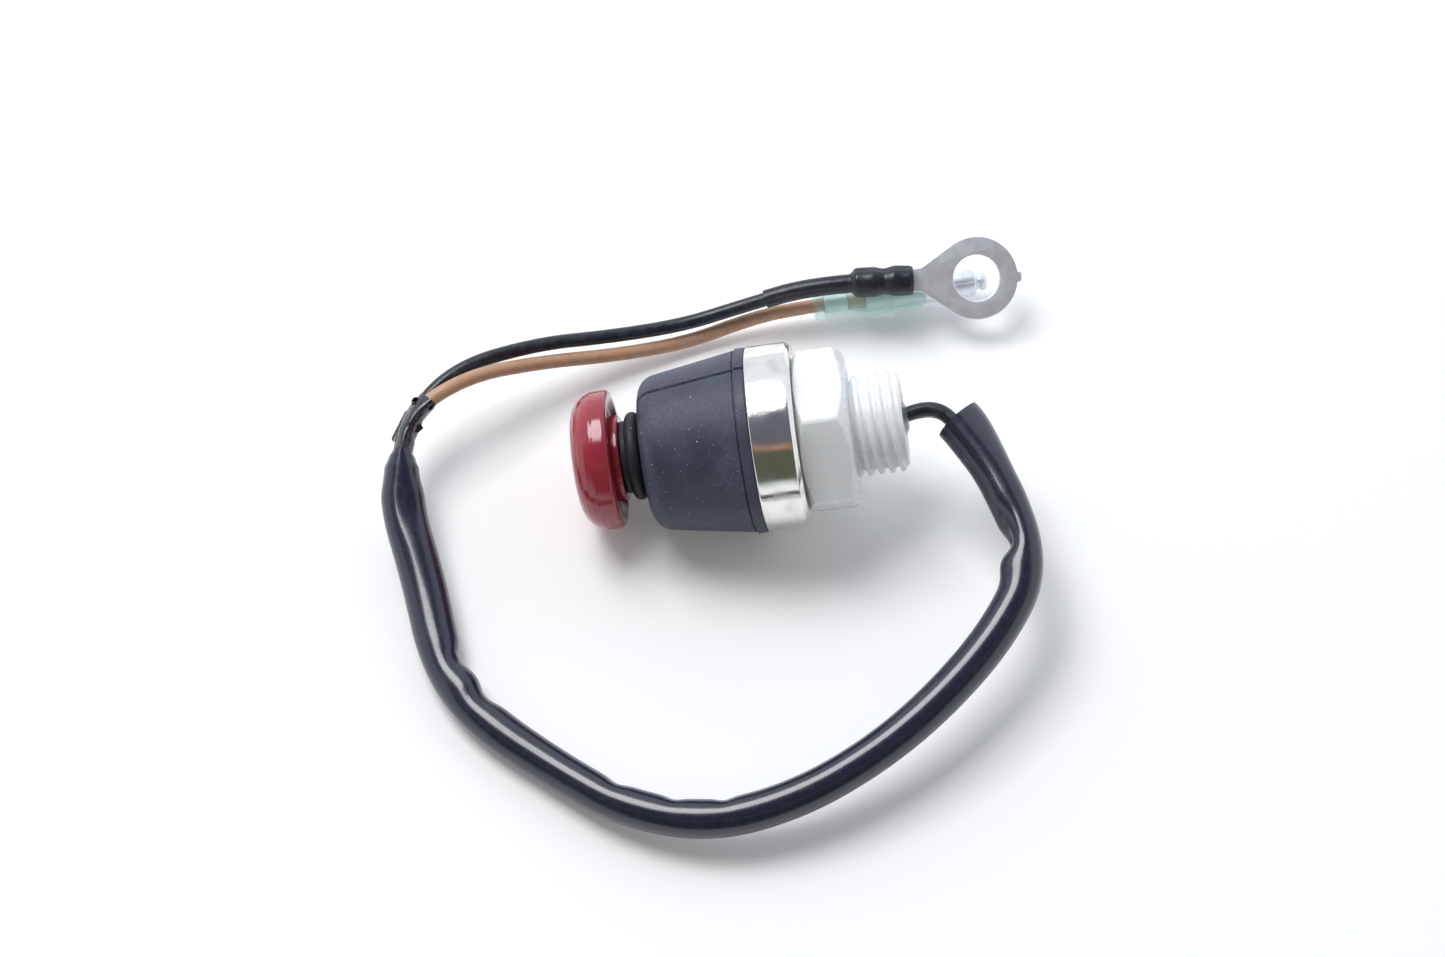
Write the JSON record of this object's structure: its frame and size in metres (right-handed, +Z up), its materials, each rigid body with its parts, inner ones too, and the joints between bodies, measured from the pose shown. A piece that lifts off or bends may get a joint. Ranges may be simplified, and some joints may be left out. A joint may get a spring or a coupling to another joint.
{
  "type": "engine stop switch",
  "caption": "Push-pull engine stop switch with a mushroom knob, rubber-covered body, threaded stem and nut, and a sleeved lead ending in a ring terminal and a bullet terminal.",
  "frame": {"origin": "centre of the switch's own footprint on the surface it lies on, lead left out", "axes": "+X from the knob towards the threaded stem, +Z up, +Y towards the side where the terminals lie"},
  "size_m": [0.0921, 0.0884, 0.0264],
  "materials": {
    "red_plastic": "glossy",
    "black_rubber": "satin",
    "charcoal_rubber": "matte, a little dusty",
    "plated_metal": "bright plating",
    "white_nylon": "satin, slightly translucent",
    "clear_resin": "glossy",
    "brass": "turned",
    "steel": "ground",
    "insulating_board": "matte",
    "black_insulation": "satin",
    "brown_insulation": "satin",
    "black_vinyl": "glossy",
    "black_tape": "glossy",
    "black_shrink": "satin",
    "tinned_metal": "dull tin plate",
    "green_vinyl": "clear, glossy"
  },
  "bodies": {
    "body": {"housing": "white_nylon", "rubber_cover": "charcoal_rubber", "clamp_ring": "plated_metal", "bellows_seal": "black_rubber", "chamber_cap": "white_nylon", "guide_bush": "brass", "return_spring": "steel", "contact_base": "insulating_board", "fixed_contact_live": "brass", "fixed_contact_ground": "brass", "potting_plug": "clear_resin", "wire_black": "black_insulation", "wire_brown": "brown_insulation", "lead_sleeve": "black_vinyl", "wrap_tape": "black_tape", "heat_shrink": "black_shrink", "ring_terminal": "tinned_metal", "bullet_terminal": "tinned_metal", "bullet_sleeve": "green_vinyl"},
    "plunger": {"red_knob": "red_plastic", "spindle": "steel", "spring_seat": "insulating_board", "contact_bridge": "brass", "retaining_clip": "steel"},
    "nut": {"mounting_nut": "white_nylon"}
  },
  "joints": [
    {"name": "knob_pull", "type": "slide", "parent": "body", "child": "plunger", "axis": [-0.9895, 0, -0.1443], "range_m": [0, 0.0045], "stiffness_N_per_m": 1300, "springref_m": -0.003, "deforming": ["return_spring", "bellows_seal"]},
    {"name": "nut_run", "type": "slide", "parent": "body", "child": "nut", "axis": [0.9895, 0, 0.1443], "range_m": [0, 0.007]}
  ]
}
